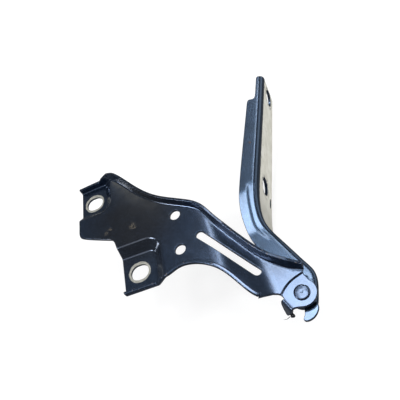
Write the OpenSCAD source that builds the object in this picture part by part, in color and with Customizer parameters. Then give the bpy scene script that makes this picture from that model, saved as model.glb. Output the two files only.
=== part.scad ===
// Bonnet hinge: a pressed body bracket and a pressed bonnet arm joined by one
// riveted pivot. The pivot axis is vertical (+Z); the origin is the centre of
// the lower body bolt slot, on the face that sits against the vehicle body.

/* [Sheet] */
// Sheet thickness of both pressings
sheet_t = 2.5; // [2.2:0.1:2.8]
// Height of the bracket's main plate above the body face, to its front
plate_z = 9; // [8.5:0.5:10]
// How far the pivot end of the bracket drops below the main plate
plate_drop = 7; // [6.5:0.5:7.5]
// Height of the upper stiffening flange above the plate
flange_h = 6; // [4:0.5:8]
// Height of the lower lip above the plate
lip_h = 2; // [1:0.5:3]

/* [Body bolts] */
// Length of each body bolt slot
body_slot_l = 14.6; // [13:0.2:15]
// Width of each body bolt slot
body_slot_w = 12.8; // [11:0.2:13]
// Distance between the slots along the arm side
body_pitch_x = 82; // [81:0.5:83]
// Distance between the slots across
body_pitch_y = 35; // [34.5:0.5:35.5]

/* [Locating holes] */
// Diameter of the two round locating holes
locating_d = 8.5; // [7:0.5:10]
// Length of the long slot
long_slot_l = 59; // [52:1:60]
// Width of the long slot
long_slot_w = 6; // [5:0.2:6.4]

/* [Pivot] */
// Diameter of the rivet shank
shank_d = 7.5; // [7:0.1:7.6]
// Diameter of the rivet head
head_d = 11; // [10:0.5:12]
// Thickness of the rivet head
head_h = 1.4; // [1:0.1:2]
// Running clearance on the radius between rivet and bush
run_gap = 0.05; // [0.02:0.01:0.1]
// Outside diameter of the pivot bush
bush_d = 10; // [9.6:0.1:10.4]
// Outside diameter of the thrust washer between the pressings
thrust_d = 17; // [15:0.5:18]
// Outside diameter of the washer under the formed tail
backing_d = 13; // [12:0.5:13]

/* [Arm] */
// Angle of the arm as it stands, from square to the bracket
arm_lean = 15.5; // [14:0.5:17]
// Depth of the bonnet flange at its free end, from the front of the web
bonnet_flange = 34; // [32:0.5:36]
// How much deeper the bonnet flange is at the crank
flange_grow = 9.5; // [8:0.5:11]
// Diameter of the two bonnet bolt holes
bonnet_hole_d = 15; // [10:0.5:16]
// Distance between the two bonnet bolt holes
bonnet_pitch = 100; // [97:0.5:101]

/* [Hidden] */

$fn = 64;
t = sheet_t;
navy = "#2b3850";
blue = "#4a6483";
steel = "#8d99a8";
bronze = "#9a7b4a";

// pivot position, and levels down the pivot from front to back
px = 110.5;
py = -55.5;
ear_step = 1.2;
ear_f = plate_z - plate_drop - ear_step;
ear_b = ear_f - t;
thrust_t = 2.1;
backing_t = 1;
gap = 0.1;
web_f = ear_b - thrust_t - gap;
web_b = web_f - t;
back_f = web_b - gap;
back_b = back_f - backing_t;
tail_h = 2.2;
flange_mid = web_f - 20.4;
flange_deep = web_f - bonnet_flange - flange_grow;

// bend lines of the bracket stand a little off square
bend_a = 6;
bend_1 = 56;
bend_2 = 92;
// share of the slope taken by each bend
bend_q = 0.3;
function slope_s(u) = let(m = 1 / (1 - bend_q))
    u <= 0 ? 0 : u >= 1 ? 1 :
    u < bend_q ? m * u * u / (2 * bend_q) :
    u > 1 - bend_q ? 1 - m * (1 - u) * (1 - u) / (2 * bend_q) :
    m * (u - bend_q / 2);
function front_z(x) = plate_z - plate_drop * slope_s((x - bend_1) / (bend_2 - bend_1));
slope_x = [for (i = [0:18]) bend_1 + (bend_2 - bend_1) * i / 18];

// points cut at every corner, which rounds an open line and keeps its ends
function cut(p) = concat([p[0]], [for (i = [0:len(p) - 2]) each
    [p[i] * 0.75 + p[i + 1] * 0.25, p[i] * 0.25 + p[i + 1] * 0.75]], [p[len(p) - 1]]);
function rounded(p, n = 2) = n == 0 ? p : rounded(cut(p), n - 1);
// the same line moved sideways, to its left for positive d
function unit(v) = v / norm(v);
function side(p, i) = let(a = p[max(i - 1, 0)], b = p[min(i + 1, len(p) - 1)], u = unit(b - a)) [-u[1], u[0]];
function moved(p, d) = [for (i = [0:len(p) - 1]) p[i] + d * side(p, i)];
function back(p) = [for (i = [len(p) - 1:-1:0]) p[i]];
function arc(c, r, a0, a1, n = 12) = [for (i = [0:n]) c + r * [cos(a0 + (a1 - a0) * i / n), sin(a0 + (a1 - a0) * i / n)]];

// upper edge of the bracket, from the pad corner to the pivot end
upper_edge = concat([[-47, 100]], rounded([[-30, 101], [-15, 101], [-8.3, 95.2], [0, 84.6], [7.2, 74.8], [17, 62.6], [28, 53.5],
    [42, 45.2], [52.3, 39.1], [59.8, 32.1], [65.7, 22.4], [75.4, 6.5], [85.2, -7.7], [92.5, -17.3], [98.5, -23.8], [104.5, -28.8], [117.3, -38.2]], 2));
// lower edge, from the lower pad to the pivot end
lower_edge = concat([[-12.7, -17]], rounded([[5, -16.9], [19, -16.8], [25.5, -15.8], [32, -12.5], [38.6, -12], [48, -14.5], [56.2, -19.4],
    [62.3, -24.6], [67.8, -31.5], [73, -39.6], [78.4, -47.7], [82.4, -51.2]], 2));
// line of the step down to the pivot ear
step_line = [[97, -52.6], [101.3, -48], [106.2, -44.8], [110.6, -43.2], [114.4, -42]];
left_edge = concat([[-46.9, 66]], rounded([[-46.8, 58], [-47, 47.2], [-43.5, 44.5], [-32.7, 39.4], [-22.4, 35], [-17, 32.8], [-15, 25.2], [-13.4, 16.7]], 2));
plate_line = concat(lower_edge, [[87, -50.8], [92, -50.8]], step_line, back(upper_edge), left_edge);

// everything is drawn with the slots across, then turned to lie along Y
module place() rotate([0, 0, -90]) children();

// a slab that follows the bracket's bends, between two heights given as
// offsets from its front
module bent_slab(lo, hi) rotate([0, 0, bend_a]) rotate([90, 0, 0]) translate([0, 0, -160]) linear_extrude(320)
    polygon(concat([[-80, plate_z + hi]], [for (x = slope_x) [x, front_z(x) + hi]], [[150, plate_z - plate_drop + hi]],
        [[150, plate_z - plate_drop + lo]], [for (i = [len(slope_x) - 1:-1:0]) [slope_x[i], front_z(slope_x[i]) + lo]], [[-80, plate_z + lo]]));

// a wall standing along an edge, one sheet thick to the left of the edge line
module edge_wall(line, d, lo, hi) translate([0, 0, lo]) linear_extrude(hi - lo) polygon(concat(line, back(moved(line, d))));

// slice seen from the front, as points across and up
module front_slice(pts) rotate([90, 0, 0]) translate([0, 0, -160]) linear_extrude(320) polygon(pts);

// section of the sloped wall round a mounting pad
pad_w = 9.3;
pad_r = 4.2;
pad_top = plate_z;
pad_section = [[-1, 0.3], [1.2, 0.15], [2.5, 0.6], [8.3, pad_top - t - 0.4], [9.8, pad_top - t + 0.1], [11, pad_top - t + 0.3],
    [11, pad_top - 0.3], [9.4, pad_top - 0.05], [7.6, pad_top - 0.5], [1.6, t + 0.4], [0.2, t - 0.05], [-1, t - 0.2]];
// corner centres of the two pads
upper_c = [-28.7, 76.2];
lower_c = [9, 10.6];
module pad(c, up) translate([c[0], c[1], 0]) mirror([0, up ? 0 : 1, 0]) {
    rotate_extrude(angle = 90) translate([pad_r, 0]) polygon(pad_section);
    rotate([0, 0, 90]) translate([0, 40, 0]) rotate([90, 0, 0]) linear_extrude(40) translate([pad_r, 0]) polygon(pad_section);
    rotate([90, 0, 0]) linear_extrude(40) translate([pad_r, 0]) polygon(pad_section);
    linear_extrude(t) polygon(concat(arc([0, 0], pad_r + 0.6, 0, 90, 12), [[-39, pad_r + 0.6], [-39, -39], [pad_r + 0.6, -39]]));
}
module pad_room(c, up) translate([c[0], c[1], -5]) mirror([0, up ? 0 : 1, 0]) linear_extrude(40)
    polygon(concat(arc([0, 0], pad_r + pad_w, 0, 90, 16), [[-60, pad_r + pad_w], [-60, -60], [pad_r + pad_w, -60]]));

// tongue of the stop, folded back along its top line
tab_a = [97.3, -56.2];
tab_b = [101.3, -64.7];
tab_ang = atan2(tab_b[1] - tab_a[1], tab_b[0] - tab_a[0]);
tab_l = norm(tab_b - tab_a);
module stop_tab() translate([tab_a[0], tab_a[1], ear_f]) rotate([0, 0, tab_ang]) intersection() {
    rotate([90, 0, 90]) translate([0, 0, -3]) linear_extrude(tab_l + 6)
        polygon([[1, 0], [-0.9, -0.2], [-2, -1.1], [-2.5, -2.3], [-4.5, -10], [-2.1, -10.6], [-0.1, -3], [1, -2.5]]);
    rotate([90, 0, 0]) translate([0, 0, -10]) linear_extrude(20)
        polygon(rounded([[0, 1], [-0.8, -2], [-0.6, -4.2], [0.9, -6.8], [2.9, -8.9], [5.2, -10.7], [8.2, -10.7], [9.2, -8.8], [tab_l, -3], [tab_l, 1]], 1));
}

module ear() {
    translate([px, py, ear_b]) cylinder(r = 10, h = t);
    translate([0, 0, ear_b]) linear_extrude(t)
        polygon(concat([tab_b, [104.5, -64.2], [107.6, -65], [110.5, -65.4], [117.4, -48.2], [114.8, -42.4]], back(moved(step_line, 2.5)), [[97, -52.6], tab_a]));
    stop_tab();
}

module slot_hole(l, w, h) {
    for (s = [-1, 1]) translate([s * (l - w) / 2, 0, -h]) cylinder(d = w, h = 2 * h);
    translate([-(l - w) / 2, -w / 2, -h]) cube([l - w, w, 2 * h]);
}

module body_bracket() color(navy) place() difference() {
    union() {
        intersection() {
            difference() {
                translate([0, 0, -10]) linear_extrude(40) polygon(plate_line);
                pad_room(upper_c, false);
                pad_room(lower_c, true);
            }
            bent_slab(-t, 0);
        }
        intersection() {
            translate([0, 0, -10]) linear_extrude(40) polygon(plate_line);
            union() {
                pad(upper_c, false);
                pad(lower_c, true);
            }
        }
        // upper flange, lower beside the pad
        intersection() {
            edge_wall(upper_edge, -t, -10, 30);
            union() {
                intersection() {
                    bent_slab(-t, flange_h);
                    front_slice([[-26, 0], [-26, plate_z + 0.4], [-18, plate_z + flange_h - 0.9], [-11, plate_z + flange_h + 0.4], [130, 30], [130, -10]]);
                }
                front_slice([[-60, 0.2], [-24, 0.2], [-14, plate_z - t + 0.3], [-14, plate_z - 0.2], [-24, plate_z - 0.6], [-28, plate_z - 1.1], [-60, plate_z - 1.5]]);
            }
        }
        // lower lip
        intersection() {
            edge_wall(lower_edge, t, -10, 30);
            union() {
                intersection() {
                    bent_slab(-t, lip_h);
                    front_slice([[18, -10], [18, plate_z - 0.9], [23, plate_z + lip_h + 1], [130, 30], [130, -10]]);
                }
                front_slice([[-60, 0.2], [13.5, 0.2], [22, plate_z - t - 0.3], [23.4, plate_z - t + 0.3], [23.4, plate_z + 1.2], [21.5, plate_z + 0.9], [14, 6.4], [-60, 6.4]]);
            }
        }
        ear();
    }
    translate([0, 0, t]) slot_hole(body_slot_l, body_slot_w, 20);
    translate([-body_pitch_y, body_pitch_x, t]) slot_hole(body_slot_l, body_slot_w, 20);
    for (y = [3, 35]) translate([36, y, 0]) cylinder(d = locating_d, h = 20);
    translate([69.1, -11, 0]) rotate([0, 0, -51]) slot_hole(long_slot_l, long_slot_w, 20);
    translate([px, py, ear_b - 1]) cylinder(r = shank_d / 2 + 0.02, h = 6);
}

// arm outline, drawn with the pivot at its origin and the straight part along Y
fx = -34.5;
outer_edge = concat([[fx, 217], [fx, 150]], rounded([[fx, 110], [fx, 92], [-33.5, 78], [-30, 64], [-23.2, 53.9], [-12, 41.5], [-0.3, 27.9],
    [6.7, 20.3], [8.5, 15], [9.4, 9], [9.5, 0]], 2));
hook = rounded([[9.5, 0], [9.1, -5.4], [9.8, -8], [9.4, -10.8], [7.8, -14.2], [5, -16.8], [1.8, -17.9], [-0.1, -17.1], [0, -15.2], [0.9, -13.6], [0.4, -9]], 2);
inner_edge = rounded([[-9, 2], [-9.6, 9.5], [-20, 24], [-32, 38.8], [-38.8, 47.5], [-44.5, 61], [-48.5, 76], [-49.5, 92], [-49, 140]], 2);
top_edge = concat(rounded([[-48.4, 180], [-48.2, 190], [-41.5, 189], [-41.2, 198]], 2), rounded([[-41.2, 208], [-41.2, 217], [-36, 217]], 2));
web_line = concat(outer_edge, hook, inner_edge, top_edge);

module arm_at() translate([px, py, 0]) rotate([0, 0, -arm_lean]) children();

module bonnet_arm() color(blue) place() arm_at() difference() {
    union() {
        translate([0, 0, web_b]) linear_extrude(t) polygon(web_line);
        translate([0, 0, web_b]) cylinder(r = 9.4, h = t);
        intersection() {
            edge_wall(outer_edge, -t, flange_deep, web_f);
            rotate([90, 0, 90]) translate([0, 0, -60]) linear_extrude(90)
                polygon(concat([[230, web_f + 1], [230, web_f - bonnet_flange + 0.9], [217, web_f - bonnet_flange]], rounded([[84, flange_deep + 0.1], [69, flange_deep + 1],
                    [56, web_f - 25], [36, web_f - 11], [20, web_f - 6], [8, web_f - 3.8], [-1, web_f - 3.4]], 2), [[-1, web_f + 1]]));
        }
    }
    translate([0, 0, web_b - 1]) cylinder(d = bush_d, h = t + 2);
    for (y = [107.4, 107.4 + bonnet_pitch]) translate([fx - 10, y, flange_mid]) rotate([0, 90, 0]) cylinder(d = bonnet_hole_d, h = 20);
    // small locating slot near the free edge of the bonnet flange
    translate([fx - 10, 101.6, web_f - 37.6]) rotate([0, 90, 0]) rotate([0, 0, 90]) slot_hole(8.6, 3, 20);
}

module pivot_rivet() color(steel) place() translate([px, py, 0]) {
    rotate_extrude() polygon(concat([[0, back_b - tail_h], [4.6, back_b - tail_h], [5.4, back_b - tail_h + 0.7], [5.4, back_b],
        [shank_d / 2, back_b], [shank_d / 2, ear_f], [head_d / 2, ear_f], [head_d / 2, ear_f + head_h - 0.6],
        [head_d / 2 - 0.6, ear_f + head_h], [1.2, ear_f + head_h], [0.9, ear_f + head_h - 0.1], [0, ear_f + head_h - 0.1]]));
}

module pivot_bush() color(bronze) place() translate([px, py, web_b]) difference() {
    cylinder(d = bush_d, h = t);
    translate([0, 0, -1]) cylinder(r = shank_d / 2 + run_gap, h = t + 2);
}

module washer(z, d, h) translate([px, py, z]) difference() {
    cylinder(d = d, h = h);
    translate([0, 0, -1]) cylinder(r = shank_d / 2 + 0.02, h = h + 2);
}

module thrust_washer() color(bronze) place() washer(ear_b - thrust_t, thrust_d, thrust_t);

module backing_washer() color(steel) place() washer(back_b, backing_d, backing_t);

body_bracket();
bonnet_arm();
pivot_rivet();
pivot_bush();
thrust_washer();
backing_washer();
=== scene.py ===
import math

import bpy
import numpy as np
from mathutils import Matrix, Vector, kdtree
from mathutils.geometry import delaunay_2d_cdt


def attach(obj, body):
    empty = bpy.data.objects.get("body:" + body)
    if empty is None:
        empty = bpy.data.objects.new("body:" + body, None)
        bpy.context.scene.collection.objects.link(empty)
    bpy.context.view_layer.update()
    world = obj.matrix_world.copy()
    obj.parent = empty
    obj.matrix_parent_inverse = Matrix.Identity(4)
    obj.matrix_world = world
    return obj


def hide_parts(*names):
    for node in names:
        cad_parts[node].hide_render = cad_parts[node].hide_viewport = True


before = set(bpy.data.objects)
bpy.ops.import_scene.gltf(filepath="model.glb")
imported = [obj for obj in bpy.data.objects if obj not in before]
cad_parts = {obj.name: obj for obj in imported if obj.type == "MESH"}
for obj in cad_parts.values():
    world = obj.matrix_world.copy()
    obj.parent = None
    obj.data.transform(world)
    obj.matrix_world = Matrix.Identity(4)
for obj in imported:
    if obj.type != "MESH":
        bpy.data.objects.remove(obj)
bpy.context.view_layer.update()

# ---------------------------------------------------------------------------
# Sizes, in millimetres, in the drawing's own plan: the row frame is (y, -x, z)
# ---------------------------------------------------------------------------
T = 2.5
PLATE_Z, PLATE_DROP = 9.0, 7.0
PX, PY = 110.5, -55.5
EAR_STEP = 1.2
EAR_F = PLATE_Z - PLATE_DROP - EAR_STEP
WEB_F = -3.9
LEAN = 15.5
R_UP, R_LOW, R_ARM = 0.95, 1.2, 4.0


def to_row(p):
    p = np.asarray(p, float)
    return np.column_stack([p[:, 1], -p[:, 0], p[:, 2]]) * 0.001


# ---------------------------------------------------------------------------
# Lines
# ---------------------------------------------------------------------------
def chaikin(p, n=2):
    p = np.array(p, float)
    for _ in range(n):
        a, b = 0.75 * p[:-1] + 0.25 * p[1:], 0.25 * p[:-1] + 0.75 * p[1:]
        q = np.empty((2 * len(a), 2))
        q[0::2], q[1::2] = a, b
        p = np.vstack([p[:1], q, p[-1:]])
    return p


def resample(p, step):
    p = np.asarray(p, float)
    d = np.r_[0, np.cumsum(np.hypot(*np.diff(p, axis=0).T))]
    s = np.linspace(0, d[-1], max(2, int(round(d[-1] / step)) + 1))
    return np.column_stack([np.interp(s, d, p[:, 0]), np.interp(s, d, p[:, 1])])


def soften(p, passes):
    p = p.copy()
    for _ in range(passes):
        p[1:-1] = 0.25 * p[:-2] + 0.5 * p[1:-1] + 0.25 * p[2:]
    return p


def lefts(p):
    t = np.gradient(p, axis=0)
    t /= np.linalg.norm(t, axis=1)[:, None]
    return np.column_stack([-t[:, 1], t[:, 0]])


def densify(p, step, closed=True):
    out = []
    m = len(p)
    for i in range(m if closed else m - 1):
        a, b = np.asarray(p[i], float), np.asarray(p[(i + 1) % m], float)
        n = max(1, int(math.ceil(np.linalg.norm(b - a) / step - 1e-6)))
        out += [a + (b - a) * k / n for k in range(n)]
    if not closed:
        out.append(np.asarray(p[-1], float))
    return np.array(out)


def arc(c, r, a0, a1, n):
    a = np.radians(np.linspace(a0, a1, n + 1))
    return np.column_stack([c[0] + r * np.cos(a), c[1] + r * np.sin(a)])


def circle(c, r, n):
    return arc(c, r, 0, 360, n)[:-1]


def slotted(c, l, w, turn, n):
    h = (l - w) / 2
    p = np.vstack([arc((h, 0), w / 2, -90, 90, n), arc((-h, 0), w / 2, 90, 270, n)])
    a = math.radians(turn)
    rot = np.array([[math.cos(a), math.sin(a)], [-math.sin(a), math.cos(a)]])
    return densify(p @ rot + np.array(c), 1.2)


def step_share(u, q):
    u = np.clip(u, 0, 1)
    m = 1 / (1 - q)
    return np.where(u < q, m * u * u / (2 * q), np.where(u > 1 - q, 1 - m * (1 - u) ** 2 / (2 * q), m * (u - q / 2)))


def smooth01(u):
    u = np.clip(u, 0, 1)
    return u * u * (3 - 2 * u)


# ---------------------------------------------------------------------------
# Triangles over an outline with holes
# ---------------------------------------------------------------------------
def inside(pts, poly):
    x, y = pts[:, 0], pts[:, 1]
    c = np.zeros(len(pts), bool)
    nxt = np.roll(poly, -1, axis=0)
    for (x0, y0), (x1, y1) in zip(poly, nxt):
        if y0 == y1:
            continue
        c ^= ((y0 > y) != (y1 > y)) & (x < (x1 - x0) * (y - y0) / (y1 - y0) + x0)
    return c


def hexgrid(lo, hi, h):
    ys = np.arange(lo[1], hi[1], h * 0.866)
    rows = []
    for k, y in enumerate(ys):
        xs = np.arange(lo[0] + (h / 2 if k % 2 else 0), hi[0], h)
        rows.append(np.column_stack([xs, np.full(len(xs), y)]))
    return np.vstack(rows)


def triangulate(outer, holes, levels):
    """levels: list of (spacing, mask function); each point of the inside takes the first level whose mask holds."""
    loops = [np.asarray(l, float) for l in [outer, *holes]]
    rim = np.vstack(loops)
    tree = kdtree.KDTree(len(rim))
    for i, p in enumerate(rim):
        tree.insert((p[0], p[1], 0), i)
    tree.balance()
    fields = []
    for k, (h, mask) in enumerate(levels):
        g = hexgrid(rim.min(0) + 0.011, rim.max(0), h)
        keep = inside(g, loops[0])
        for l in loops[1:]:
            keep &= ~inside(g, l)
        g = g[keep]
        ok = np.ones(len(g), bool) if mask is None else mask(g[:, 0], g[:, 1])
        for _, other in levels[:k]:
            ok &= ~other(g[:, 0], g[:, 1])
        g = g[ok]
        far = np.array([tree.find((x, y, 0))[2] > max(0.62, 0.55 * h) for x, y in g], bool) if len(g) else np.zeros(0, bool)
        fields.append(g[far])
    pts = np.vstack([rim, *fields])
    edges, k = [], 0
    for l in loops:
        n = len(l)
        edges += [(k + i, k + (i + 1) % n) for i in range(n)]
        k += n
    v, _, f, orig, _, _ = delaunay_2d_cdt([Vector((float(a), float(b))) for a, b in pts], edges, [], 0, 1e-5)
    v = np.array([pts[o[0]] if o else (p[0], p[1]) for p, o in zip(v, orig)])
    f = np.array([t for t in f if len(t) == 3])
    c = v[f].mean(axis=1)
    keep = inside(c, loops[0])
    for l in loops[1:]:
        keep &= ~inside(c, l)
    f = f[keep]
    a, b, d = v[f[:, 0]], v[f[:, 1]], v[f[:, 2]]
    turn = (b[:, 0] - a[:, 0]) * (d[:, 1] - a[:, 1]) - (b[:, 1] - a[:, 1]) * (d[:, 0] - a[:, 0])
    f = f[np.abs(turn) > 1e-7]
    turn = turn[np.abs(turn) > 1e-7]
    f[turn < 0] = f[turn < 0][:, ::-1]
    return v, [tuple(t) for t in f]


# ---------------------------------------------------------------------------
# A pressed sheet: front and back skins joined by a rounded cut edge
# ---------------------------------------------------------------------------
class Sheet:
    def __init__(self):
        self.front, self.back, self.tag, self.roll, self.faces, self.index = [], [], [], [], [], {}

    def add(self, front, back, faces, tag=None, roll=0.0):
        ids = []
        tag = np.zeros(len(front)) if tag is None else tag
        for f, b, g in zip(front, back, tag):
            key = tuple(np.round(f, 3) + 0.0)
            if key not in self.index:
                self.index[key] = len(self.front)
                self.front.append(f)
                self.back.append(b)
                self.tag.append(g)
                self.roll.append(roll)
            ids.append(self.index[key])
        for face in faces:
            g = [ids[i] for i in face]
            g = [x for i, x in enumerate(g) if x != g[i - 1]]
            if len(g) >= 3:
                self.faces.append(tuple(g))

    def build(self, name, r=0.32, seg=3):
        F, B = np.array(self.front), np.array(self.back)
        n = len(F)
        directed = set()
        for f in self.faces:
            for i in range(len(f)):
                directed.add((f[i], f[(i + 1) % len(f)]))
        rim = [(a, b) for a, b in directed if (b, a) not in directed]
        rim.sort()
        d = B - F
        thick = np.linalg.norm(d, axis=1)
        d /= thick[:, None]
        out = np.zeros((n, 3))
        sides = {}
        for a, b in rim:
            e = F[b] - F[a]
            e /= np.linalg.norm(e)
            o = np.cross(e, -(d[a] + d[b]))
            o /= np.linalg.norm(o)
            for v in (a, b):
                out[v] += o
                sides.setdefault(v, []).append(o)
        on = sorted({v for e in rim for v in e})
        for v in on:
            o = out[v] - d[v] * (out[v] @ d[v])
            o /= max(np.linalg.norm(o), 1e-9)
            spread = min(abs(o @ s) for s in sides[v])
            out[v] = o / max(spread, 0.72)
        verts = [*F, *B]
        rimtag = [0.0] * (2 * n)
        edgeside = [0.0] * n + [1.0] * n
        where = {}
        angles = [math.pi / 2 * k / seg for k in range(1, seg + 1)]
        for v in on:
            rr = min(r if self.roll[v] == 0 else 0.28, thick[v] * 0.45)
            rb = max(rr, min(self.roll[v], thick[v] * 0.72))
            ring = [v]
            verts[v] = F[v] - out[v] * rr
            for a in angles:
                ring.append(len(verts))
                verts.append(F[v] + out[v] * rr * (math.sin(a) - 1) + d[v] * rr * (1 - math.cos(a)))
            for a in reversed(angles):
                ring.append(len(verts))
                verts.append(B[v] + out[v] * rb * (math.sin(a) - 1) - d[v] * rb * (1 - math.cos(a)))
            ring.append(n + v)
            verts[n + v] = B[v] - out[v] * rb
            where[v] = ring
            rimtag += [1.0] * (2 * seg)
            edgeside += [0.5] * (2 * seg)
            rimtag[v] = rimtag[n + v] = 0.35
        faces = [f for f in self.faces] + [tuple(n + i for i in reversed(f)) for f in self.faces]
        for a, b in rim:
            ra, rb = where[a], where[b]
            for k in range(len(ra) - 1):
                faces.append((rb[k], ra[k], ra[k + 1], rb[k + 1]))
        P = np.array(verts)
        facing = np.zeros_like(P)
        for size in (3, 4):
            f = np.array([q for q in faces[: 2 * len(self.faces)] if len(q) == size], int)
            if not len(f):
                continue
            c = np.cross(P[f[:, 1]] - P[f[:, 0]], P[f[:, 2]] - P[f[:, 0]]) if size == 3 else np.cross(P[f[:, 2]] - P[f[:, 0]], P[f[:, 3]] - P[f[:, 1]])
            c /= np.maximum(np.linalg.norm(c, axis=1), 1e-12)[:, None]
            for k in range(size):
                a, b = P[f[:, k - 1]] - P[f[:, k]], P[f[:, (k + 1) % size]] - P[f[:, k]]
                cos = (a * b).sum(1) / np.maximum(np.linalg.norm(a, axis=1) * np.linalg.norm(b, axis=1), 1e-12)
                np.add.at(facing, f[:, k], c * np.arccos(np.clip(cos, -1, 1))[:, None])
        for v in on:
            u = out[v] / np.linalg.norm(out[v])
            for i, a in enumerate(angles):
                facing[where[v][1 + i]] = u * math.sin(a) - d[v] * math.cos(a)
                facing[where[v][2 * seg - i]] = u * math.sin(a) + d[v] * math.cos(a)
        facing = to_row(facing)
        facing /= np.maximum(np.linalg.norm(facing, axis=1), 1e-12)[:, None]
        mesh = bpy.data.meshes.new(name)
        mesh.from_pydata([tuple(p) for p in to_row(P)], [], faces)
        mesh.validate()
        mesh.polygons.foreach_set("use_smooth", [True] * len(mesh.polygons))
        mesh.normals_split_custom_set_from_vertices([tuple(q) for q in facing])
        tag = list(self.tag) + [0.0] * (len(verts) - n)
        for label, values in (("rim", rimtag), ("run", tag), ("side", edgeside)):
            at = mesh.attributes.new(label, "FLOAT", "POINT")
            at.data.foreach_set("value", np.array(values, np.float32))
        mesh.update()
        ob = bpy.data.objects.new(name, mesh)
        bpy.context.scene.collection.objects.link(ob)
        return ob


# ---------------------------------------------------------------------------
# Bracket
# ---------------------------------------------------------------------------
UPPER = np.vstack([[[-46.9, 100]], chaikin([[-30, 101], [-15, 101], [-8.3, 95.2], [0, 84.6], [7.2, 74.8], [17, 62.6], [28, 53.5],
    [42, 45.2], [52.3, 39.1], [59.8, 32.1], [65.7, 22.4], [75.4, 6.5], [85.2, -7.7], [92.5, -17.3], [98.5, -23.8], [104.5, -28.8], [117.3, -38.2]])])
LOWER = np.vstack([[[-12.7, -17]], chaikin([[5, -16.9], [19, -16.8], [25.5, -15.8], [32, -12.5], [38.6, -12], [48, -14.5], [56.2, -19.4],
    [62.3, -24.6], [67.8, -31.5], [73, -39.6], [78.4, -47.7], [82.4, -51.2]])])
UPPER = soften(resample(UPPER, 1.0), 5)
LOWER = soften(resample(LOWER, 1.0), 5)
UPPER_N, LOWER_N = lefts(UPPER), -lefts(LOWER)
# the upper wall flares outwards a little, except beside the upper pad, and
# stands higher where the plate sinks towards the pivot
PAST_PAD = smooth01((UPPER[:, 0] + 24) / 10)
R_WALL = R_UP + 0.85 * PAST_PAD * smooth01((66 - UPPER[:, 0]) / 20)
RAISE = np.minimum(2.2 * smooth01((UPPER[:, 0] - 54) / 16), PLATE_DROP * step_share((UPPER @ [math.cos(math.radians(6)), math.sin(math.radians(6))] - 56) / 36, 0.3)) * smooth01((117 - UPPER[:, 0]) / 8)
FLARE = (0.65 + smooth01((18 - UPPER[:, 0]) / 12) + 0.75 * smooth01((UPPER[:, 0] - 58) / 14) * smooth01((117 - UPPER[:, 0]) / 8)) * PAST_PAD
UPPER_FOLD = UPPER - (T - 0.45 * PAST_PAD + R_WALL + FLARE + 0.40 * RAISE)[:, None] * UPPER_N
LOWER_FOLD = LOWER - (T + R_LOW) * LOWER_N
STEP_LINE = chaikin([[94, -56], [97, -52.6], [101.3, -48], [106.2, -44.8], [110.6, -43.2], [114.4, -42], [126, -38]], 2)
UPPER_PAD, LOWER_PAD, PAD_R, PAD_W = (-28.7, 76.2), (9.0, 10.6), 4.2, 9.3


def pad_way(x, y, c, up):
    lx, ly = x - c[0], (y - c[1]) * (1 if up else -1)
    return np.where((lx > 0) & (ly > 0), np.hypot(lx, ly), np.maximum(lx, ly)) - PAD_R


def fold_way(x, y):
    """Distance from the foot of the upper wall."""
    p = np.column_stack([np.ravel(x), np.ravel(y)])
    best = np.full(len(p), 1e9)
    for a in UPPER_FOLD[::2]:
        best = np.minimum(best, np.hypot(p[:, 0] - a[0], p[:, 1] - a[1]))
    return best.reshape(np.shape(x))


def plate_base(x, y):
    x, y = np.asarray(x, float), np.asarray(y, float)
    xi = x * math.cos(math.radians(6)) + y * math.sin(math.radians(6))
    z = PLATE_Z - PLATE_DROP * step_share((xi - 56) / 36, 0.3)
    z = z + 0.5 * np.exp(-fold_way(x, y) / 5.5) * smooth01((x + 16) / 14) * smooth01((64 - x) / 20)
    for c, up in ((UPPER_PAD, False), (LOWER_PAD, True)):
        z = z - (PLATE_Z - T) * (1 - step_share(pad_way(x, y, c, up) / PAD_W, 0.2))
    return z


def step_way(x, y):
    """Distance from the line of the step, positive on the pivot's side."""
    p = np.column_stack([np.ravel(x), np.ravel(y)])
    best, sign = np.full(len(p), 1e9), np.zeros(len(p))
    for a, b in zip(STEP_LINE[:-1], STEP_LINE[1:]):
        e = b - a
        u = np.clip(((p - a) @ e) / (e @ e), 0, 1)
        q = p - a - u[:, None] * e
        dist = np.hypot(q[:, 0], q[:, 1])
        s = np.where(e[0] * (p[:, 1] - a[1]) - e[1] * (p[:, 0] - a[0]) < 0, 1.0, -1.0)
        near = dist < best
        best, sign = np.where(near, dist, best), np.where(near, s, sign)
    return best * sign


def ear_share(x, y):
    d = step_way(x, y)
    reach = np.hypot(x - PX, y - PY) < 22
    return np.where(reach, smooth01((d + 0.15) / 0.8), 0.0)


def plate_skin(xy):
    x, y = xy[:, 0], xy[:, 1]
    e = 0.05
    z = plate_base(x, y)
    zx = (plate_base(x + e, y) - plate_base(x - e, y)) / (2 * e)
    zy = (plate_base(x, y + e) - plate_base(x, y - e)) / (2 * e)
    n = np.column_stack([-zx, -zy, np.ones(len(x))])
    n /= np.linalg.norm(n, axis=1)[:, None]
    drop = np.column_stack([np.zeros(len(x)), np.zeros(len(x)), EAR_STEP * ear_share(x, y)])
    f = np.column_stack([x, y, z])
    return f - drop, f - T * n - drop


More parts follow.
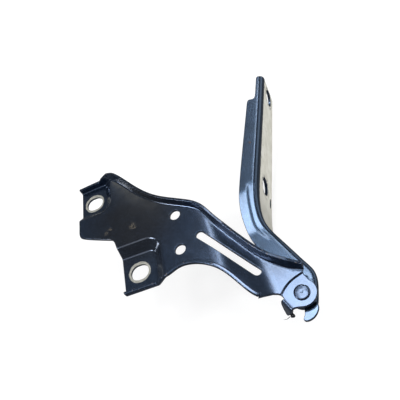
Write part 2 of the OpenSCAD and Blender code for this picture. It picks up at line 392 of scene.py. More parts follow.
def strip_up(sheet, fold, out, top, r_in, flip, straight=5, roll=0.0, flare=None):
    """A wall folded up along a line; top is the height of its edge at each point."""
    n = len(fold)
    zp = plate_base(fold[:, 0], fold[:, 1])
    radius = np.broadcast_to(r_in, n)
    front, back = [], []
    for i in range(n):
        r = radius[i]
        high = max(top[i] - zp[i], r + 0.05)
        reach = r + (0.0 if flare is None else flare[i])
        turn = math.pi / 2
        for _ in range(5):
            turn = math.pi / 2 - math.atan2(reach - r * math.sin(turn), high - r * (1 - math.cos(turn)))
        o1, u1 = r * math.sin(turn), r * (1 - math.cos(turn))
        cols = [(r * math.sin(a), r * (1 - math.cos(a)), a) for a in np.linspace(0, turn, 8)]
        cols += [(o1 + (reach - o1) * k / straight, u1 + (high - u1) * k / straight, turn) for k in range(1, straight + 1)]
        for o, up, a in cols:
            p = np.array([*(fold[i] + o * out[i]), zp[i] + up])
            nf = np.array([*(-math.sin(a) * out[i]), math.cos(a)])
            front.append(p)
            back.append(p - T * nf)
    m = 8 + straight
    faces = []
    for i in range(n - 1):
        for j in range(m - 1):
            q = (i * m + j, (i + 1) * m + j, (i + 1) * m + j + 1, i * m + j + 1)
            faces.append(q[::-1] if flip else q)
    sheet.add(front, back, faces, roll=roll)


def make_bracket():
    s = Sheet()
    fold_a, fold_b = np.array([98.0, -55.85]), np.array([102.0, -64.35])
    fold_line = resample(np.array([fold_a, fold_b]), 0.8)
    ear = np.vstack([densify([[82.7, -51.1], [84.6, -51.0], [87, -50.8], [92, -50.8], [95.2, -51.8], [97, -53.1], [97.7, -54.5]], 0.9, False),
        fold_line, densify([[103.3, -64.25], [105.2, -64.5], [107.2, -64.95]], 0.9, False),
        arc((PX, PY), 10.0, -104, 46, 34), densify([[116.6, -46.3], [115.2, -43.4]], 0.9, False)])
    left = np.vstack([[[-46.9, 66]], chaikin([[-46.8, 58], [-47, 47.2], [-43.5, 44.5], [-32.7, 39.4], [-22.4, 35], [-17, 32.8], [-15, 25.2], [-13.4, 16.7]], 3)])
    outline = densify(np.vstack([LOWER_FOLD, ear, UPPER_FOLD[::-1], left]), 1.25)
    holes = [slotted((0, 0), 14.6, 12.8, 0, 26), slotted((-35, 82), 14.6, 12.8, 0, 26), circle((36, 3), 4.25, 40), circle((36, 35), 4.25, 40),
        slotted((69.1, -11), 59, 6, -51, 14), circle((PX, PY), 3.78, 36)]

    def near_step(x, y):
        return (np.abs(step_way(x, y)) < 1.9) & (np.hypot(x - PX, y - PY) < 19)

    def near_pad(x, y):
        a, b = pad_way(x, y, UPPER_PAD, False), pad_way(x, y, LOWER_PAD, True)
        return ((a > -1.5) & (a < 10.8)) | ((b > -1.5) & (b < 10.8))

    v, f = triangulate(outline, holes, [(0.42, near_step), (0.8, near_pad), (1.5, None)])
    front, back = plate_skin(v)
    # mask for dust and painted sheen, strongest at the foot of the upper wall and fading onto the plate
    dust_and_fold_sheen = np.exp(-fold_way(v[:, 0], v[:, 1]) / 7) * smooth01((v[:, 0] + 20) / 8) * smooth01((46 - v[:, 0]) / 50)
    s.add(front, back, f, tag=dust_and_fold_sheen)
    # upper wall: lower beside the pad, full height along the plate
    x = UPPER[:, 0]
    base = plate_base(UPPER_FOLD[:, 0], UPPER_FOLD[:, 1])
    top = np.interp(x, [-47, -28, -26.4, -25.8, -18, -11], [7.45, 7.85, 8.1, 9.5, 14.0, 14.95])
    top = np.where(x < -11, top, np.minimum(base + 6 + RAISE, 14.95))
    strip_up(s, UPPER_FOLD, UPPER_N, top, R_WALL, False, roll=0.9, flare=FLARE)
    x = LOWER[:, 0]
    base = plate_base(LOWER_FOLD[:, 0], LOWER_FOLD[:, 1])
    top = np.where(x < 23, np.interp(x, [-12.7, 13, 18, 22.5], [6.3, 6.4, 8.4, 10.95]), base + 2)
    strip_up(s, LOWER_FOLD, LOWER_N, top, R_LOW, True, roll=1.2)
    # stop tongue, folded back from the pivot ear
    along = (fold_b - fold_a) / np.linalg.norm(fold_b - fold_a)
    away = np.array([along[1], -along[0]])
    long = float(np.linalg.norm(fold_b - fold_a))
    ro, turn = 2.8, math.radians(75)
    free = chaikin([[long, 0.0], [long + 0.1, 4.2], [long - 0.3, 7.6], [long - 2.4, 10.6], [6.2, 12.2], [4.6, 12.2], [2.9, 10.6], [0.9, 8.5], [-0.6, 5.9], [-0.8, 3.4], [0, 0]], 2)
    base_row = np.column_stack([(fold_line - fold_a) @ along, np.zeros(len(fold_line))])
    loop = np.vstack([base_row, densify(free, 0.8, False)[1:-1]])
    v, f = triangulate(loop, [], [(0.8, None)])
    a = np.minimum(v[:, 1] / ro, turn)
    more = np.maximum(v[:, 1] - ro * turn, 0)
    o = ro * np.sin(a) + more * math.cos(turn)
    z = EAR_F - ro * (1 - np.cos(a)) - more * math.sin(turn)
    xy = fold_a + v[:, :1] * along + o[:, None] * away
    # the fold's own points take the ear's exact places, so that the two skins join
    for i, p in enumerate(v):
        if abs(p[1]) < 1e-9:
            k = int(np.argmin(np.abs(base_row[:, 0] - p[0])))
            xy[i] = fold_line[k]
            z[i] = plate_base(*fold_line[k]) - EAR_STEP * ear_share(*fold_line[k].reshape(2, 1))[0]
    front = np.column_stack([xy, z])
    nf = np.column_stack([np.sin(a)[:, None] * away, np.cos(a)])
    # the tongue's own outline runs the other way round from the plate's
    cross = along[0] * away[1] - along[1] * away[0]
    # the tongue's face past its bend takes the same lighter tint
    s.add(front, front - T * nf, [t if cross > 0 else t[::-1] for t in f], tag=0.45 * smooth01(v[:, 1] / 5))
    return s.build("bracket_pressing", 0.5, 4)


# ---------------------------------------------------------------------------
# Arm
# ---------------------------------------------------------------------------
FX, TOP_Y = -34.5, 216.7
OUTER = np.vstack([[[FX, TOP_Y], [FX, 150]], chaikin([[FX, 110], [FX, 92], [-33.5, 78], [-30, 64], [-23.2, 53.9], [-12, 41.5], [-0.3, 27.9],
    [6.7, 20.3], [8.5, 15], [9.4, 9], [9.5, 0], [9.2, -5.0]])])
OUTER = soften(resample(OUTER, 1.0), 6)
OUTER_N = lefts(OUTER)
HOOK = chaikin([[9.5, 0], [9.0, -5.6], [9.8, -8], [9.4, -10.8], [7.8, -14.2], [5, -16.75], [1.8, -17.8], [-0.1, -17.05], [0, -15.2], [0.9, -13.6], [0.4, -9]])
INNER = soften(resample(chaikin([[-9, 2], [-9.6, 9.5], [-20, 24], [-32, 38.8], [-38.8, 47.5], [-44.5, 61], [-48.5, 76], [-49.5, 92], [-49, 140]]), 1.0), 3)
BOSS = arc((0, 0), 9.4, 268, 171, 18)
TOP = np.vstack([chaikin([[-48.4, 180], [-48.2, 190], [-41.5, 189], [-41.2, 198]]), chaikin([[-41.2, 208], [-41.2, TOP_Y], [-38.4, TOP_Y]])])
LEAN_C, LEAN_S = math.cos(math.radians(LEAN)), math.sin(math.radians(LEAN))
# flank of the shallow step that runs down the crank
CHANNEL = chaikin([[-42.6, 104], [-42.4, 91], [-41.5, 82], [-40, 74], [-37.6, 63.5], [-35.5, 58], [-32, 53.5], [-26, 47]], 2)


def arm_place(p):
    p = np.asarray(p, float)
    x = PX + p[:, 0] * LEAN_C + p[:, 1] * LEAN_S
    y = PY - p[:, 0] * LEAN_S + p[:, 1] * LEAN_C
    return np.column_stack([x, y, p[:, 2]])


def ramp(d, e=2.4):
    return (d + np.sqrt(d * d + e * e)) / 2


def web_dip(x, y):
    p = np.column_stack([x, y])
    best, sign = np.full(len(p), 1e9), np.ones(len(p))
    for a, b in zip(CHANNEL[:-1], CHANNEL[1:]):
        e = b - a
        u = np.clip(((p - a) @ e) / (e @ e), 0, 1)
        q = p - a - u[:, None] * e
        d = np.hypot(q[:, 0], q[:, 1])
        side = np.sign(q[:, 1] * e[0] - q[:, 0] * e[1])
        sign = np.where(d < best, side, sign)
        best = np.minimum(best, d)
    # the web rises slowly to the crank, drops through it, and comes level again below
    top, low = 90 + 0.59 * (x + 46), 52.5 + 0.41 * (x + 38.5)
    fall = 0.079 * (ramp(top - y) - ramp(low - y))
    back = 0.040 * (ramp(51 - y, 5) - ramp(16 - y, 5))
    near = smooth01((y - 2) / 10)
    swell = near * (1.5 * smooth01((190 - y) / 92) - fall + back)
    ends = smooth01((101 - y) / 10) * smooth01((y - 44) / 8)
    return 0.36 * smooth01((sign * best + 1.9) / 3.8) * ends - swell


def make_arm():
    s = Sheet()
    last = len(OUTER) - 1
    radius = R_ARM - 1.3 * smooth01((34 - OUTER[:, 1]) / 24)
    fold = OUTER - radius[:, None] * OUTER_N
    outline = densify(np.vstack([fold, HOOK[np.argmax(HOOK[:, 1] < OUTER[-1, 1] - 0.45):-1], BOSS, INNER[5:], TOP]), 1.25)
    bore = circle((0, 0), 5.02, 40)

    def in_neck(x, y):
        return (y > 32) & (y < 102)

    v, f = triangulate(outline, [bore], [(0.9, in_neck), (1.5, None)])
    z = np.full(len(v), WEB_F) - web_dip(v[:, 0], v[:, 1])
    front = np.column_stack([v, z])
    s.add(arm_place(front), arm_place(front - [0, 0, T]), f)
    # flange, drawn flat as (distance along the fold, distance across it)
    quarter = R_ARM * math.pi / 2
    y = OUTER[: last + 1, 1]
    edge = chaikin([[84, 43.4], [69, 42.5], [56, 25], [36, 11], [20, 6], [8, 3.8], [-6, 3.3]])[::-1]
    deep = np.where(y > 84, 34.0 + 9.4 * (TOP_Y - y) / (TOP_Y - 84), np.interp(y, edge[:, 0], edge[:, 1]))
    wide = radius * math.pi / 2 + np.maximum(deep - radius, 0.1)
    step = np.linalg.norm(OUTER[1] - OUTER[0])
    l = np.arange(last + 1) * step
    near = np.column_stack([l, np.zeros(last + 1)])
    far = np.column_stack([l, wide])
    corner = chaikin([[1.6, wide[0]], [0, wide[0]], [0, wide[0] - 1.6]], 2)
    loop = np.vstack([near, densify([near[-1], far[-1]], 0.9, False)[1:], far[::-1][1:-2], corner, densify([[0, wide[0] - 1.6], [0, 0]], 1.0, False)[1:-1]])
    mid = quarter + 20.4 - R_ARM
    holes = [circle((TOP_Y - 107.4, mid), 7.5, 48), circle((TOP_Y - 207.4, mid), 7.5, 48), slotted((TOP_Y - 101.6, quarter + 37.6 - R_ARM), 8.6, 3, 0, 10)]
    v, f = triangulate(loop, holes, [(0.85, lambda a, b: b < quarter + 1.5), (1.5, None)])
    q = np.clip(v[:, 0] / step, 0, last)
    k = np.minimum(q.astype(int), last - 1)
    w = (q - k)[:, None]
    at = fold[k] * (1 - w) + fold[k + 1] * w
    nn = OUTER_N[k] * (1 - w) + OUTER_N[k + 1] * w
    nn /= np.linalg.norm(nn, axis=1)[:, None]
    rad = radius[k] * (1 - w[:, 0]) + radius[k + 1] * w[:, 0]
    a = np.minimum(v[:, 1] / rad, math.pi / 2)
    more = np.maximum(v[:, 1] - rad * math.pi / 2, 0)
    o = rad * np.sin(a)
    zz = WEB_F - rad * (1 - np.cos(a)) - more
    # the relief of the web fades out down the flange
    zz -= web_dip(at[:, 0], at[:, 1]) * np.where(np.abs(v[:, 1]) < 1e-9, 1.0, smooth01((12 - v[:, 1]) / 12))
    front = np.column_stack([at + o[:, None] * nn, zz])
    nf = np.column_stack([np.sin(a)[:, None] * nn, np.cos(a)])
    s.add(arm_place(front), arm_place(front - T * nf), f, tag=v[:, 1])
    return s.build("arm_pressing", 0.4, 4)


# ---------------------------------------------------------------------------
# Turned pieces
# ---------------------------------------------------------------------------
def lathe(name, profile, centre, segs=96, bump=None):
    prof = np.array(profile, float)
    verts, faces = [], []
    rows = []
    for r, z in prof:
        if r < 1e-6:
            rows.append([len(verts)])
            verts.append((centre[0], centre[1], z))
            continue
        ids = []
        for k in range(segs):
            a = 2 * math.pi * k / segs
            dr, dz = bump(r, z, a) if bump else (0, 0)
            ids.append(len(verts))
            verts.append((centre[0] + (r + dr) * math.cos(a), centre[1] + (r + dr) * math.sin(a), z + dz))
        rows.append(ids)
    for lo, hi in zip(rows[:-1], rows[1:]):
        for k in range(segs):
            j = (k + 1) % segs
            if len(lo) == 1:
                faces.append((lo[0], hi[j], hi[k]))
            elif len(hi) == 1:
                faces.append((lo[k], lo[j], hi[0]))
            else:
                faces.append((lo[k], lo[j], hi[j], hi[k]))
    mesh = bpy.data.meshes.new(name)
    mesh.from_pydata([tuple(p) for p in to_row(np.array(verts))], [], faces)
    mesh.validate()
    mesh.polygons.foreach_set("use_smooth", [True] * len(mesh.polygons))
    mesh.update()
    ob = bpy.data.objects.new(name, mesh)
    bpy.context.scene.collection.objects.link(ob)
    return ob


def make_rivet():
    top = EAR_F + 1.4
    tail = -9.7

    def knocks(r, z, a):
        if z < EAR_F - 0.01:
            return 0, 0.06 * math.sin(3 * a + 1) * math.exp(-((r - 4.2) / 1.2) ** 2) if z < -9 else 0
        nick = math.exp(-((a - math.radians(56)) / 0.13) ** 2) * math.exp(-((r - 5.2) / 0.55) ** 2)
        return -0.35 * nick, -0.3 * nick + 0.008 * math.sin(5 * a + r)

    prof = [(0, tail), (2.0, tail + 0.02), (4.2, tail + 0.05), (4.8, tail + 0.25), (5.2, tail + 0.6), (5.35, tail + 1.1), (5.4, tail + 1.7),
        (5.4, -7.52), (5.2, -7.5), (3.75, -7.5), (3.75, -7.0), (3.75, EAR_F - 0.02), (5.2, EAR_F), (5.42, EAR_F + 0.1), (5.48, EAR_F + 0.3), (5.48, EAR_F + 0.62),
        (5.42, EAR_F + 0.85), (5.25, EAR_F + 1.02), (4.95, EAR_F + 1.12), (4.4, top - 0.205), (3.8, top - 0.16), (3.1, top - 0.112), (2.6, top - 0.08),
        (2.0, top - 0.05), (1.5, top - 0.032), (1.25, top - 0.03), (1.05, top - 0.05), (0.8, top - 0.075), (0.4, top - 0.085), (0, top - 0.085)]
    return lathe("rivet_head_and_tail", prof, (PX, PY), 96, knocks)


def make_bead():
    """Drop of paint left on the corner of the stop tongue, with a short hair of it."""
    c = np.array([99.5, -64.4, -9.0])
    rings, segs = 14, 24
    verts, faces = [], []
    for i in range(rings + 1):
        u = math.pi * i / rings
        for k in range(segs):
            a = 2 * math.pi * k / segs
            r = 1.65 * (1 + 0.06 * math.sin(3 * a + 2 * u) + 0.05 * math.cos(2 * a - 3 * u))
            neck = 1 + 0.06 * max(0.0, math.cos(u)) ** 2
            verts.append((c[0] + r * math.sin(u) * math.cos(a) * 0.96, c[1] + r * math.sin(u) * math.sin(a), c[2] + r * math.cos(u) * neck))
    for i in range(rings):
        for k in range(segs):
            j = (k + 1) % segs
            faces.append((i * segs + k, i * segs + j, (i + 1) * segs + j, (i + 1) * segs + k)[::-1])
    way = [(97.6, -64.6, -9.0, 0.26), (96.2, -65.2, -9.2, 0.22), (94.9, -65.5, -9.35, 0.17), (93.7, -65.3, -9.4, 0.12), (92.9, -64.9, -9.4, 0.05)]
    base, sides = len(verts), 8
    for i, (x, y, z, r) in enumerate(way):
        g = np.subtract(way[min(i + 1, 4)][:2], way[max(i - 1, 0)][:2])
        g = g / np.linalg.norm(g)
        for k in range(sides):
            a = 2 * math.pi * k / sides
            verts.append((x - g[1] * r * math.cos(a), y + g[0] * r * math.cos(a), z + r * math.sin(a)))
    for i in range(4):
        for k in range(sides):
            j = (k + 1) % sides
            faces.append((base + i * sides + k, base + i * sides + j, base + (i + 1) * sides + j, base + (i + 1) * sides + k))
    faces += [tuple(base + k for k in range(sides)), tuple(base + 4 * sides + k for k in reversed(range(sides)))]
    mesh = bpy.data.meshes.new("paint_drop")
    mesh.from_pydata([tuple(p) for p in to_row(np.array(verts))], [], faces)
    mesh.validate()
    mesh.polygons.foreach_set("use_smooth", [True] * len(mesh.polygons))
    ob = bpy.data.objects.new("paint_drop", mesh)
    bpy.context.scene.collection.objects.link(ob)
    import bmesh
    bm = bmesh.new()
    bm.from_mesh(mesh)
    bmesh.ops.remove_doubles(bm, verts=bm.verts, dist=1e-6)
    bmesh.ops.recalc_face_normals(bm, faces=bm.faces)
    bm.to_mesh(mesh)
    bm.free()
    return ob


# ---------------------------------------------------------------------------
# Materials
# ---------------------------------------------------------------------------
class Nodes:
    def __init__(self, name):
        self.mat = bpy.data.materials.new(name)
        self.mat.use_nodes = True
        self.t = self.mat.node_tree
        self.t.nodes.clear()
        self.out = self.t.nodes.new("ShaderNodeOutputMaterial")
        self.bsdf = self.t.nodes.new("ShaderNodeBsdfPrincipled")
        self.t.links.new(self.bsdf.outputs[0], self.out.inputs["Surface"])
        self.pos = self.t.nodes.new("ShaderNodeTexCoord").outputs["Object"]

    def link(self, a, b):
        self.t.links.new(a, b)

    def noise(self, scale, detail=3.0, rough=0.55, vec=None):
        n = self.t.nodes.new("ShaderNodeTexNoise")
        n.inputs["Scale"].default_value = scale
        n.inputs["Detail"].default_value = detail
        n.inputs["Roughness"].default_value = rough
        self.link(vec or self.pos, n.inputs["Vector"])
        return n.outputs["Fac"]

    def stretched(self, sx, sy, sz, turn=0.0):
        n = self.t.nodes.new("ShaderNodeMapping")
        n.inputs["Scale"].default_value = (sx, sy, sz)
        n.inputs["Rotation"].default_value = (0, 0, turn)
        self.link(self.pos, n.inputs["Vector"])
        return n.outputs["Vector"]

    def voronoi(self, scale):
        n = self.t.nodes.new("ShaderNodeTexVoronoi")
        n.inputs["Scale"].default_value = scale
        self.link(self.pos, n.inputs["Vector"])
        return n.outputs["Distance"], n.outputs["Color"]

    def span(self, value, a, b, lo=0.0, hi=1.0, smooth=True):
        n = self.t.nodes.new("ShaderNodeMapRange")
        if smooth:
            n.interpolation_type = "SMOOTHSTEP"
        n.inputs["From Min"].default_value = a
        n.inputs["From Max"].default_value = b
        n.inputs["To Min"].default_value = lo
        n.inputs["To Max"].default_value = hi
        self.link(value, n.inputs["Value"])
        return n.outputs["Result"]

    def math(self, op, a, b=None):
        n = self.t.nodes.new("ShaderNodeMath")
        n.operation = op
        for i, v in enumerate((a, b)):
            if v is None:
                continue
            if isinstance(v, (int, float)):
                n.inputs[i].default_value = v
            else:
                self.link(v, n.inputs[i])
        return n.outputs[0]

    def mix(self, fac, a, b):
        n = self.t.nodes.new("ShaderNodeMix")
        n.data_type = "RGBA"
        if isinstance(fac, (int, float)):
            n.inputs[0].default_value = fac
        else:
            self.link(fac, n.inputs[0])
        for i, v in ((6, a), (7, b)):
            if isinstance(v, tuple):
                n.inputs[i].default_value = (*v, 1)
            else:
                self.link(v, n.inputs[i])
        return n.outputs[2]

    def attribute(self, name):
        n = self.t.nodes.new("ShaderNodeAttribute")
        n.attribute_type = "GEOMETRY"
        n.attribute_name = name
        return n.outputs["Fac"]

    def distance(self, p):
        n = self.t.nodes.new("ShaderNodeVectorMath")
        n.operation = "DISTANCE"
        self.link(self.pos, n.inputs[0])
        n.inputs[1].default_value = p
        return n.outputs["Value"]

    def xyz(self):
        n = self.t.nodes.new("ShaderNodeSeparateXYZ")
        self.link(self.pos, n.inputs[0])
        return n.outputs

    def bump(self, height, strength, distance):
        n = self.t.nodes.new("ShaderNodeBump")
        n.inputs["Strength"].default_value = strength
        n.inputs["Distance"].default_value = distance
        self.link(height, n.inputs["Height"])
        self.link(n.outputs[0], self.bsdf.inputs["Normal"])

    def set(self, **kw):
        for k, v in kw.items():
            self.bsdf.inputs[k.replace("_", " ")].default_value = v


def paint(name, body, bright, dust=0.35):
    """Dark metallic blue paint under a thin clear coat, with dust, fine specks and worn cut edges. Returns the node
    helper, the colour and roughness so far, and the worn-edge mask.
    """
    m = Nodes(name)
    shade = m.span(m.noise(55, 3), 0.35, 0.7)
    col = m.mix(shade, body, bright)
    flake = m.span(m.noise(1700, 2, 0.6), 0.50, 0.72)
    col = m.mix(m.math("MULTIPLY", flake, 0.5), col, tuple(min(1, 2.1 * c) for c in bright))
    film = m.math("MULTIPLY", m.span(m.noise(38, 5, 0.65), 0.5, 0.78), m.span(m.noise(900, 3, 0.7), 0.4, 0.75))
    film = m.math("MULTIPLY", film, dust)
    col = m.mix(film, col, (0.20, 0.18, 0.15))
    specks = m.math("MULTIPLY", m.span(m.noise(1150, 2, 0.5), 0.735, 0.77), m.span(m.noise(70, 2), 0.45, 0.6))
    col = m.mix(m.math("MULTIPLY", specks, 0.7), col, (0.30, 0.24, 0.17))
    scratch = m.span(m.noise(330, 2, 0.5, m.stretched(1, 0.045, 0.4, 0.6)), 0.735, 0.76)
    col = m.mix(m.math("MULTIPLY", scratch, 0.22), col, (0.16, 0.19, 0.25))
    rim = m.attribute("rim")
    worn = m.math("MULTIPLY", m.span(rim, 0.45, 0.9), m.span(m.noise(420, 4, 0.7), 0.57, 0.68))
    col = m.mix(m.math("MULTIPLY", worn, 0.8), col, (0.17, 0.13, 0.10))
    rough = m.math("ADD", m.span(m.noise(160, 4, 0.6), 0.3, 0.75, 0.05, 0.09), m.math("MULTIPLY", film, 0.2))
    return m, col, rough, worn


def finish_paint(m, col, rough, base_rough, metal, coat, bumps=0.05):
    m.link(col, m.bsdf.inputs["Base Color"])
    m.link(m.math("ADD", rough, base_rough), m.bsdf.inputs["Roughness"])
    if isinstance(metal, (int, float)):
        m.bsdf.inputs["Metallic"].default_value = metal
    else:
        m.link(metal, m.bsdf.inputs["Metallic"])
    if isinstance(coat, (int, float)):
        m.bsdf.inputs["Coat Weight"].default_value = coat
    else:
        m.link(coat, m.bsdf.inputs["Coat Weight"])
    m.set(Coat_Roughness=0.17, Coat_IOR=1.57)
    peel = m.math("ADD", m.noise(700, 2, 0.5), m.math("MULTIPLY", m.noise(1700, 2, 0.5), 0.5))
    m.bump(peel, bumps, 0.0002)


NAVY, NAVY_LIT = (0.037, 0.070, 0.136), (0.044, 0.082, 0.158)
BLUE, BLUE_LIT = (0.042, 0.083, 0.154), (0.049, 0.097, 0.178)


def bracket_paint():
    m, col, rough, worn = paint("bracket_paint", NAVY, NAVY_LIT)
    # neutral film of dirt over the middle of the main plate
    dull = m.math("MULTIPLY", m.span(m.distance((0.045, 0.0, 0.0)), 0.052, 0.018), m.span(m.noise(60, 4, 0.6), 0.25, 0.65, 0.5, 0.75))
    col = m.mix(dull, col, (0.044, 0.046, 0.051))
    # dust along the foot of the upper wall, and a painted sheen there: the plate is painted lighter and less metallic
    # near the fold, fading away from it
    dust_and_fold_sheen = m.math("MULTIPLY", m.attribute("run"), m.span(m.noise(130, 4, 0.6), 0.25, 0.65, 0.55, 0.95))
    col = m.mix(dust_and_fold_sheen, col, (0.115, 0.113, 0.098))
    # bare prints of the bolt flanges round the two body slots
    z = m.xyz()[2]
    wobble = m.math("MULTIPLY", m.math("SUBTRACT", m.noise(240, 3, 0.6), 0.5), 0.0016)
    bare = None
    for c in ((0.0, 0.0, 0.0025), (0.082, 0.035, 0.0025)):
        d = m.math("ADD", m.distance(c), wobble)
        ring = m.span(d, 0.0092, 0.0087)
        bare = ring if bare is None else m.math("MAXIMUM", bare, ring)
    bare = m.math("MULTIPLY", bare, m.span(z, 0.0016, 0.0022))
    metal = m.mix(m.span(m.noise(700, 4, 0.7), 0.35, 0.7), (0.34, 0.335, 0.29), (0.52, 0.515, 0.46))
    rub = m.span(m.noise(1300, 3, 0.6), 0.62, 0.7)
    metal = m.mix(m.math("MULTIPLY", rub, 0.6), metal, (0.07, 0.07, 0.065))
    col = m.mix(bare, col, metal)
    # fine grains of dust all over
    grain = m.math("MULTIPLY", m.span(m.noise(1700, 3, 0.6), 0.54, 0.70), 0.5)
    col = m.mix(grain, col, (0.085, 0.105, 0.145))
    # dried dirt on the main plate
    dirt = grain
    for c, r in (((0.0391, -0.0007, 0.009), 0.0040), ((0.0443, 0.0196, 0.009), 0.0024), ((0.0410, 0.0224, 0.009), 0.0020)):
        d = m.math("ADD", m.distance(c), m.math("MULTIPLY", m.math("SUBTRACT", m.noise(420, 4, 0.7), 0.5), 0.010))
        spot = m.math("MULTIPLY", m.span(d, r, r * 0.45), m.span(m.noise(1500, 3, 0.7), 0.42, 0.62))
        col = m.mix(m.math("MULTIPLY", spot, 0.85), col, (0.20, 0.165, 0.11))
        dirt = m.math("MAXIMUM", dirt, spot)
    metal_share = m.math("SUBTRACT", m.math("SUBTRACT", 0.95, m.math("MULTIPLY", worn, 0.8)), m.math("MULTIPLY", m.math("MAXIMUM", dirt, m.math("MAXIMUM", bare, dust_and_fold_sheen)), 0.7))
    rough = m.math("ADD", rough, m.math("MULTIPLY", bare, 0.12))
    finish_paint(m, col, rough, 0.13, metal_share, 1.0)
    return m.mat


def arm_paint():
    m, col, rough, worn = paint("arm_paint", BLUE, BLUE_LIT, 0.3)
    run = m.attribute("run")
    edge = m.math("ADD", run, m.math("MULTIPLY", m.math("SUBTRACT", m.noise(330, 5, 0.7), 0.5), 2.2))
    bare = m.span(edge, 7.2, 8.0)
    primer = m.mix(m.span(m.noise(120, 5, 0.6), 0.35, 0.7), (0.66, 0.645, 0.555), (0.80, 0.79, 0.71))
    primer = m.mix(m.math("MULTIPLY", m.span(m.noise(36, 3), 0.5, 0.75), 0.35), primer, (0.56, 0.54, 0.44))
    # dark specks, thickest beside the fold, and dark prints round the holes
    grit = m.span(m.noise(560, 3, 0.6), 0.60, 0.66)
    near = m.math("MULTIPLY", m.span(run, 17, 8.5), m.span(m.noise(45, 2), 0.36, 0.55))
    primer = m.mix(m.math("MULTIPLY", m.math("MULTIPLY", grit, near), 0.9), primer, (0.03, 0.032, 0.035))
    few = m.span(m.noise(820, 2, 0.5), 0.70, 0.74)
    primer = m.mix(m.math("MULTIPLY", few, 0.75), primer, (0.05, 0.05, 0.05))
    for c in ((0.057214, -0.105956, -0.0243), (0.153577, -0.13268, -0.0243)):
        d = m.distance(c)
        ring = m.math("MULTIPLY", m.span(d, 0.0128, 0.0085), m.span(m.noise(420, 4, 0.65), 0.42, 0.62))
        primer = m.mix(m.math("MULTIPLY", ring, 0.8), primer, (0.07, 0.07, 0.07))
    # painted shade: the bare primer is painted darker and greyer towards the crank, low on the flange
    low = m.span(m.xyz()[0], 0.062, 0.030, 0.0, 0.5)
    primer = m.mix(low, primer, (0.36, 0.355, 0.32))
    col = m.mix(bare, col, primer)
    rust = m.span(m.math("ADD", m.distance((0.0897, -0.1061, -0.0034)), m.math("MULTIPLY", m.math("SUBTRACT", m.noise(700, 3), 0.5), 0.002)), 0.0012, 0.0006)
    col = m.mix(m.math("MULTIPLY", rust, 0.8), col, (0.20, 0.11, 0.05))
    metal = m.math("MULTIPLY", m.math("SUBTRACT", 1.0, bare), m.math("SUBTRACT", 0.95, m.math("MULTIPLY", worn, 0.8)))
    rough = m.math("ADD", rough, m.math("MULTIPLY", bare, 0.25))
    finish_paint(m, col, rough, 0.15, metal, m.math("SUBTRACT", 1.0, m.math("MULTIPLY", bare, 0.9)))
    return m.mat


def rivet_paint():
    m = Nodes("rivet_paint")
    col = m.mix(m.span(m.noise(90, 3), 0.35, 0.7), NAVY, NAVY_LIT)
    rub = m.span(m.noise(800, 4, 0.7), 0.6, 0.72)
    col = m.mix(m.math("MULTIPLY", rub, 0.5), col, (0.13, 0.15, 0.19))
    rough = m.span(m.noise(300, 4, 0.6), 0.3, 0.75, 0.0, 0.15)
    finish_paint(m, col, rough, 0.14, 0.95, 1.0, 0.06)
    return m.mat


def simple_metal(name, a, b, metal, rough):
    m = Nodes(name)
    col = m.mix(m.span(m.noise(500, 4, 0.6), 0.3, 0.75), a, b)
    m.link(col, m.bsdf.inputs["Base Color"])
    m.link(m.span(m.noise(260, 3), 0.3, 0.7, rough, rough + 0.2), m.bsdf.inputs["Roughness"])
    m.set(Metallic=metal)
    m.bump(m.noise(900, 2), 0.1, 0.0001)
    return m.mat


def drop_paint():
    m = Nodes("drop_paint")
    col = m.mix(m.span(m.noise(300, 3), 0.35, 0.7), (0.010, 0.011, 0.014), (0.022, 0.024, 0.03))
    m.link(col, m.bsdf.inputs["Base Color"])
    m.link(m.span(m.noise(500, 2), 0.3, 0.7, 0.08, 0.2), m.bsdf.inputs["Roughness"])
    m.set(Coat_Weight=0.7, Coat_Roughness=0.05)
    return m.mat


# ---------------------------------------------------------------------------
# Pieces
# ---------------------------------------------------------------------------
bracket = make_bracket()
bracket.data.materials.append(bracket_paint())
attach(bracket, "bracket")
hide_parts("body_bracket")

arm = make_arm()
arm.data.materials.append(arm_paint())
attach(arm, "arm")
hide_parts("bonnet_arm")

rivet = make_rivet()
rivet.data.materials.append(rivet_paint())
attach(rivet, "bracket")
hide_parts("pivot_rivet")

drop = make_bead()
drop.data.materials.append(drop_paint())
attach(drop, "bracket")

for node, mat in (("pivot_bush", simple_metal("bush_bronze", (0.30, 0.19, 0.08), (0.45, 0.30, 0.14), 1.0, 0.3)),
        ("thrust_washer", simple_metal("washer_plastic", (0.015, 0.016, 0.018), (0.03, 0.03, 0.033), 0.0, 0.45)),
        ("backing_washer", simple_metal("washer_steel", (0.30, 0.31, 0.33), (0.46, 0.47, 0.48), 1.0, 0.3))):
    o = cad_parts[node]
    o.data.materials.clear()
    o.data.materials.append(mat)
    b = o.modifiers.new("edge", "BEVEL")
    b.width = 0.00012
    b.segments = 2
    b.limit_method = "ANGLE"

# ---------------------------------------------------------------------------
# Floor, light and camera
# ---------------------------------------------------------------------------
scene = bpy.context.scene
scene.view_settings.view_transform = "Standard"

mesh = bpy.data.meshes.new("floor")
S, Z0 = 4.0, -0.0475
mesh.from_pydata([(-S, -S, Z0), (S, -S, Z0), (S, S, Z0), (-S, S, Z0)], [], [(0, 1, 2, 3)])
floor = bpy.data.objects.new("floor", mesh)
scene.collection.objects.link(floor)
fm = Nodes("floor_white")
tint = fm.mix(fm.span(fm.noise(3, 2), 0.3, 0.7), (0.34, 0.34, 0.34), (0.36, 0.36, 0.36))
fm.link(tint, fm.bsdf.inputs["Base Color"])
fm.set(Roughness=0.95, Specular_IOR_Level=0.0, Emission_Color=(1, 1, 1, 1), Emission_Strength=0.72)
mesh.materials.append(fm.mat)
floor.visible_glossy = False

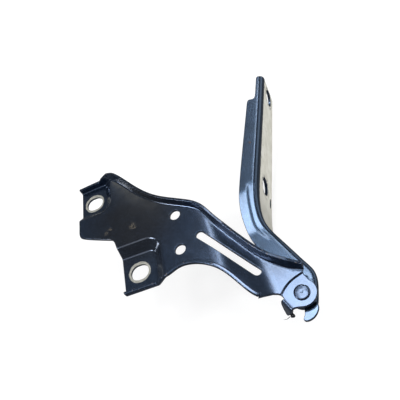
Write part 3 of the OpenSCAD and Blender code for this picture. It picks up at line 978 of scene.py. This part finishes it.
world = bpy.data.worlds.new("studio")
scene.world = world
world.use_nodes = True
sky = world.node_tree.nodes["Background"]
sky.inputs[0].default_value = (0.97, 0.98, 1.0, 1)
path = world.node_tree.nodes.new("ShaderNodeLightPath")
level = world.node_tree.nodes.new("ShaderNodeMapRange")
level.inputs["To Min"].default_value = 0.72
level.inputs["To Max"].default_value = 0.12
world.node_tree.links.new(path.outputs["Is Glossy Ray"], level.inputs["Value"])
world.node_tree.links.new(level.outputs["Result"], sky.inputs[1])


def softbox(name, direction, dist, size, power, target, colour=(1, 1, 1), spin=0.0):
    data = bpy.data.lights.new(name, "AREA")
    data.shape = "RECTANGLE"
    data.size, data.size_y = size
    data.energy = power
    data.color = colour
    ob = bpy.data.objects.new(name, data)
    scene.collection.objects.link(ob)
    v = Vector(direction).normalized()
    ob.location = Vector(target) + v * dist
    ob.rotation_mode = "QUATERNION"
    ob.rotation_quaternion = (-v).to_track_quat("-Z", "Y")
    return ob


AIM = (0.03, -0.07, 0.0)
softbox("key", (0.31, 0.03, 0.93), 2.5, (0.60, 1.02), 13.2, AIM)
softbox("fill", (0.655, -0.05, 0.755), 3.0, (0.18, 0.90), 3.0, AIM)
softbox("fill_wide", (0.68, 0.03, 0.73), 1.0, (0.34, 0.32), 0.06, AIM)
softbox("key_right", (0.22, -0.55, 0.80), 1.5, (0.32, 0.32), 0.9, AIM)
softbox("overhead", (-0.02, 0.26, 0.96), 1.0, (0.62, 0.40), 0.7, AIM)
softbox("fold_line", (-0.03, 0.645, 0.763), 1.2, (0.25, 0.25), 2.8, AIM)
softbox("side_strip", (0.25, 0.968, 0.14), 2.0, (0.16, 0.40), 1.5, AIM)
softbox("right_panel", (-0.25, -0.80, 0.55), 1.0, (0.45, 0.35), 0.9, AIM)
softbox("right_side", (0.55, -0.75, 0.36), 1.2, (0.9, 0.6), 1.0, AIM)

cam_data = bpy.data.cameras.new("camera")
cam_data.lens = 48.24
cam_data.sensor_width = 36
cam_data.clip_start, cam_data.clip_end = 0.01, 30
cam = bpy.data.objects.new("camera", cam_data)
scene.collection.objects.link(cam)
right, up, back = (-0.15433, -0.92226, -0.35444), (0.76363, -0.33897, 0.54951), (-0.62693, -0.18585, 0.75658)
place = (-0.217287, -0.134363, 0.319673)
cam.matrix_world = Matrix([[right[i], up[i], back[i], place[i]] for i in range(3)] + [[0, 0, 0, 1]])
scene.camera = cam

bpy.context.view_layer.update()
